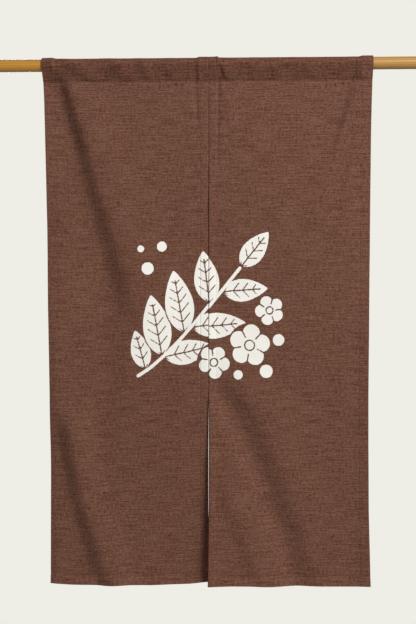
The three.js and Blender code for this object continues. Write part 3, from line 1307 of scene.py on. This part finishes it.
@dataclass(frozen=True)
class SewingThread:
    """Spun polyester thread, dyed near the cloth: a fine twist that gives the eye a dull, broken line."""

    dark: str = "#4a3026"
    light: str = "#6d4a3b"
    twist: float = 0.9  # a real twist is about 0.5 mm long; drawn coarser to show
    relief: float = 0.1

    def material(self) -> Material:
        """Makes the material.

        Returns:
            The material.
        """
        material, tree = new_material("spun_polyester_thread")
        place = add_node(tree, "TexCoord", out="Object")
        scale = WAVE_TEXTURE / (self.twist * MM)
        wave = {"Vector": place, "Scale": scale, "Distortion": 1.5, "Detail": 1.0}
        strand = add_node(tree, "TexWave", wave, out="Fac", bands_direction="DIAGONAL")
        shades = {0: strand, 6: linear(self.dark), 7: linear(self.light)}
        dye = add_node(tree, "Mix", shades, out=2, data_type="RGBA")
        bump = add_node(tree, "Bump", {"Height": strand, "Distance": self.relief * MM, "Strength": 0.5})
        surface = {
            "Base Color": dye,
            "Roughness": 0.7,
            "Normal": bump,
            "Specular IOR Level": 0.3,
            "Sheen Weight": 0.1,
        }
        shader = add_node(tree, "BsdfPrincipled", surface)
        add_node(tree, "OutputMaterial", {"Surface": shader})
        return material


@dataclass(frozen=True)
class VarnishedPine:
    """Turned pine under clear amber varnish.

    Growth rings cut lengthways give the eye long, slightly wandering bands of honey and tan, with fine
    fibre streaks between them, and the varnish gives a soft streak of light along the top.
    """

    early: str = "#cfa059"
    amber: str = "#dda037"
    late: str = "#a06f2e"
    amber_at: float = -500.0  # place along the rod where the wood is all amber
    early_at: float = 400.0  # and where it is all pale
    ring: float = 4.2  # a year's growth
    ring_share: float = 0.45
    stretch: float = 0.05  # how slowly rings wander along the rod
    pith: tuple[float, float] = (34.0, -52.0)  # middle of the tree, behind and below the rod's axis
    fibre_thick: float = 1.4  # a fibre is far finer; drawn as coarse as it needs to show
    fibre_long: float = 120.0
    fibre_share: float = 0.5
    band: float = 0.3  # painted shade: how much darker the top of the rod is painted
    top_shade_foot: float = 2.0  # where that starts above the rod's axis
    top_shade_head: float = 13.0  # and where it is darkest
    relief: float = 0.15
    rough: tuple[float, float] = (0.38, 0.5)  # of early and late wood

    def material(self) -> Material:
        """Makes the material.

        Returns:
            The material.
        """
        material, tree = new_material("varnished_pine")
        place = add_node(tree, "TexCoord", out="Object")
        middle = (0.0, -self.pith[0] * MM, -self.pith[1] * MM)
        stretch = {"Vector": place, "Location": middle, "Scale": (self.stretch, 1.0, 1.0)}
        wave = {
            "Vector": add_node(tree, "Mapping", stretch),
            "Scale": WAVE_TEXTURE / (self.ring * MM),
            "Distortion": 5.0,
            "Detail": 2.0,
            "Detail Scale": 0.35,
        }
        style = {"wave_type": "RINGS", "rings_direction": "X", "wave_profile": "SAW"}
        rings = add_node(tree, "TexWave", wave, out="Fac", **style)
        grain = add_node(tree, "Math", {0: rings, 1: self.ring_share, 2: 0.0}, operation="MULTIPLY_ADD")
        thick = 1.0 / (self.fibre_thick * MM)
        fibre_scale = (1.0 / (self.fibre_long * MM), thick, thick)
        fibre_place = add_node(tree, "Mapping", {"Vector": place, "Scale": fibre_scale})
        fibre = add_node(tree, "TexNoise", {"Vector": fibre_place, "Scale": 1.0, "Detail": 2.0})

        # Painted shade along the top, and amber towards the left
        height = add_node(tree, "SeparateXYZ", {0: place}, out="Z")
        foot, head = self.top_shade_foot * MM, self.top_shade_head * MM
        ramp = {"Value": height, "From Min": foot, "From Max": head, "To Max": self.band}
        top_shaded = add_node(tree, "Math", {0: grain, 1: add_node(tree, "MapRange", ramp)}, operation="ADD")
        tone = add_node(tree, "Math", {0: fibre, 1: self.fibre_share, 2: top_shaded}, operation="MULTIPLY_ADD")
        reach = add_node(tree, "SeparateXYZ", {0: place}, out="X")
        ramp = {"Value": reach, "From Min": self.amber_at * MM, "From Max": self.early_at * MM}
        shades = {0: add_node(tree, "MapRange", ramp), 6: linear(self.amber), 7: linear(self.early)}
        pale = add_node(tree, "Mix", shades, out=2, data_type="RGBA")
        colour = add_node(tree, "Mix", {0: tone, 6: pale, 7: linear(self.late)}, out=2, data_type="RGBA")

        ramp = {"Value": tone, "To Min": self.rough[0], "To Max": self.rough[1]}
        rough = add_node(tree, "MapRange", ramp)
        bump = add_node(tree, "Bump", {"Height": tone, "Distance": self.relief * MM, "Strength": 0.3})
        surface = {
            "Base Color": colour,
            "Roughness": rough,
            "Normal": bump,
            "IOR": 1.5,
            "Coat Weight": 0.3,
            "Coat Roughness": 0.3,
        }
        shader = add_node(tree, "BsdfPrincipled", surface)
        add_node(tree, "OutputMaterial", {"Surface": shader})
        return material


@dataclass(frozen=True)
class PaleFloor:
    """Matt pale paint on the studio's floor, which melts into the backdrop towards its rim."""

    colour: str = "#e4e2dc"
    solid: float = 0.2  # how far from its middle it is whole, in metres
    rim: float = 1.5

    def material(self) -> Material:
        """Makes the material.

        Returns:
            The material.
        """
        material, tree = new_material("matt_pale_paint")
        place = add_node(tree, "TexCoord", out="Object")
        away = add_node(tree, "VectorMath", {0: place}, out="Value", operation="LENGTH")
        ramp = {"Value": away, "From Min": self.solid, "From Max": self.rim}
        melt = add_node(tree, "MapRange", ramp, interpolation_type="SMOOTHSTEP")
        paint = add_node(tree, "BsdfPrincipled", {"Base Color": linear(self.colour), "Roughness": 0.8})
        clear = add_node(tree, "BsdfTransparent")
        mixed = add_node(tree, "MixShader", {0: melt, 1: paint, 2: clear})
        add_node(tree, "OutputMaterial", {"Surface": mixed})
        return material


@dataclass
class Studio:
    """Floor, light and camera around the curtain.

    The camera stands level, a little to the right of the seam, so that the right side looks a little
    larger.
    """

    photo_width: int = 416  # the picture's, in pixels
    photo_height: int = 624
    seam_column: float = 208.6  # the seam's pixel column at the rod
    rod_row: float = 64.4  # the pixel row of the rod's axis at the seam
    pixel_size: float = 2.571  # what one pixel spans at the curtain
    distance: float = 3.2  # from the curtain to the camera, in metres
    yaw: float = 2.25  # how far to the right of straight on the camera stands, in degrees
    sensor: float = 36.0  # along the picture's longer side
    floor_depth: float = 2.0  # in metres
    floor_sides: int = 64
    backdrop: str = "#eeede6"
    fill: float = 0.28  # strength of the light from all round
    key: float = 1.07  # strength of the main light
    key_spread: float = 40.0  # its width seen from the curtain, in degrees
    key_right: float = 44.0  # how far to the right of straight on it stands, in degrees
    key_up: float = 10.0  # how far above level, in degrees
    ceiling_power: float = 102.0  # of a nearer light from above, which makes the top a little brighter
    ceiling_size: float = 1.5
    ceiling_place: tuple[float, float, float] = (2.0, -2.6, 1.5)
    back_power: float = 105.0  # of a soft light for the curtain's back
    back_size: float = 2.0
    back_place: tuple[float, float, float] = (-1.6, 3.0, 1.6)  # from the middle of the picture

    def add(self, name: str, data: bpy.types.ID, place: Vector, aim: Vector) -> Piece:
        """Adds a light or a camera.

        Args:
            name: its name.
            data: its light or camera data.
            place: where it stands, in metres.
            aim: what it looks at, in metres.

        Returns:
            The object.
        """
        thing = bpy.data.objects.new(name, data)
        thing.location = place
        thing.rotation_euler = (aim - place).to_track_quat("-Z", "Y").to_euler()
        bpy.context.scene.collection.objects.link(thing)
        return thing

    def target(self) -> Vector:
        """Finds the point of the curtain in the middle of the picture.

        Returns:
            The point, in metres.
        """
        x = (self.photo_width / 2.0 - self.seam_column) * self.pixel_size
        z = (self.rod_row - self.photo_height / 2.0) * self.pixel_size
        return Vector((x, 0.0, z)) * MM

    def camera(self) -> None:
        """Adds the camera and makes it the scene's."""
        data = bpy.data.cameras.new("camera")
        data.sensor_width = self.sensor
        data.lens = self.sensor * self.distance / (self.photo_height * self.pixel_size * MM)
        turn = math.radians(self.yaw)
        stand = Vector((math.sin(turn), -math.cos(turn), 0.0)) * self.distance
        bpy.context.scene.camera = self.add("camera", data, self.target() + stand, self.target())

    def lights(self) -> None:
        """Adds the main light, one from above and one for the curtain's back."""
        aim = self.target()
        right, up = math.radians(self.key_right), math.radians(self.key_up)
        way = Vector((math.sin(right) * math.cos(up), -math.cos(right) * math.cos(up), math.sin(up)))
        key = bpy.data.lights.new("key", "SUN")
        key.energy = self.key
        key.angle = math.radians(self.key_spread)
        self.add("key", key, aim + way * self.distance, aim)
        for name, power, size, place in (
            ("ceiling", self.ceiling_power, self.ceiling_size, Vector(self.ceiling_place)),
            ("back", self.back_power, self.back_size, aim + Vector(self.back_place)),
        ):
            area = bpy.data.lights.new(name, "AREA")
            area.energy = power
            area.size = size
            self.add(name, area, place, aim)

    def world(self) -> None:
        """Makes the pale backdrop, and a dimmer even light from all round."""
        world = bpy.data.worlds.new("studio")
        world.use_nodes = True
        tree = world.node_tree
        tree.nodes.clear()
        seen = add_node(tree, "Background", {"Color": linear(self.backdrop), "Strength": 1.0})
        lit = add_node(tree, "Background", {"Color": linear(self.backdrop), "Strength": self.fill})
        path = add_node(tree, "LightPath", out="Is Camera Ray")
        both = add_node(tree, "MixShader", {0: path, 1: lit, 2: seen})
        add_node(tree, "OutputWorld", {"Surface": both})
        bpy.context.scene.world = world

    def floor(self, finish: PaleFloor) -> None:
        """Lays the floor.

        Args:
            finish: the floor's paint.
        """
        turn = np.arange(self.floor_sides) * 2.0 * math.pi / self.floor_sides
        points = np.stack([np.cos(turn), np.sin(turn), np.zeros(self.floor_sides)], -1) * finish.rim / MM
        floor = new_mesh("studio_floor", points, [list(range(self.floor_sides))])
        floor.location.z = -self.floor_depth
        floor.data.materials.append(finish.material())
        report(floor, "pale floor")

    def build(self) -> None:
        """Sets up the whole studio, with colours shown as they are."""
        bpy.context.scene.view_settings.view_transform = "Standard"
        self.camera()
        self.lights()
        self.world()
        self.floor(PaleFloor())


def main() -> None:
    """Builds the rod, the two panels with their sewing, and the studio."""
    logging.basicConfig(level=logging.INFO, format="%(name)s %(message)s")
    cloth, thread = SlubCloth().material(), SewingThread().material()
    rod = Rod()
    pole = rod.build()
    rod.dress(pole, VarnishedPine().material())
    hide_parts("rod")
    report(pole, "turned and varnished")
    for cut in (LEFT_CUT, RIGHT_CUT):
        panel = Panel(cut, LeafSpray(), rod.radius)
        sheet = panel.build()
        panel.dress(sheet, cloth)
        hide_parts(f"panel_{cut.side.value}")
        report(sheet, "hemmed and printed")
        sewing = Sewing(panel)
        stitches = sewing.build()
        sewing.dress(stitches, thread)
        report(stitches, "hem and pocket stitches")
    Studio().build()


if __name__ == "__main__":
    main()
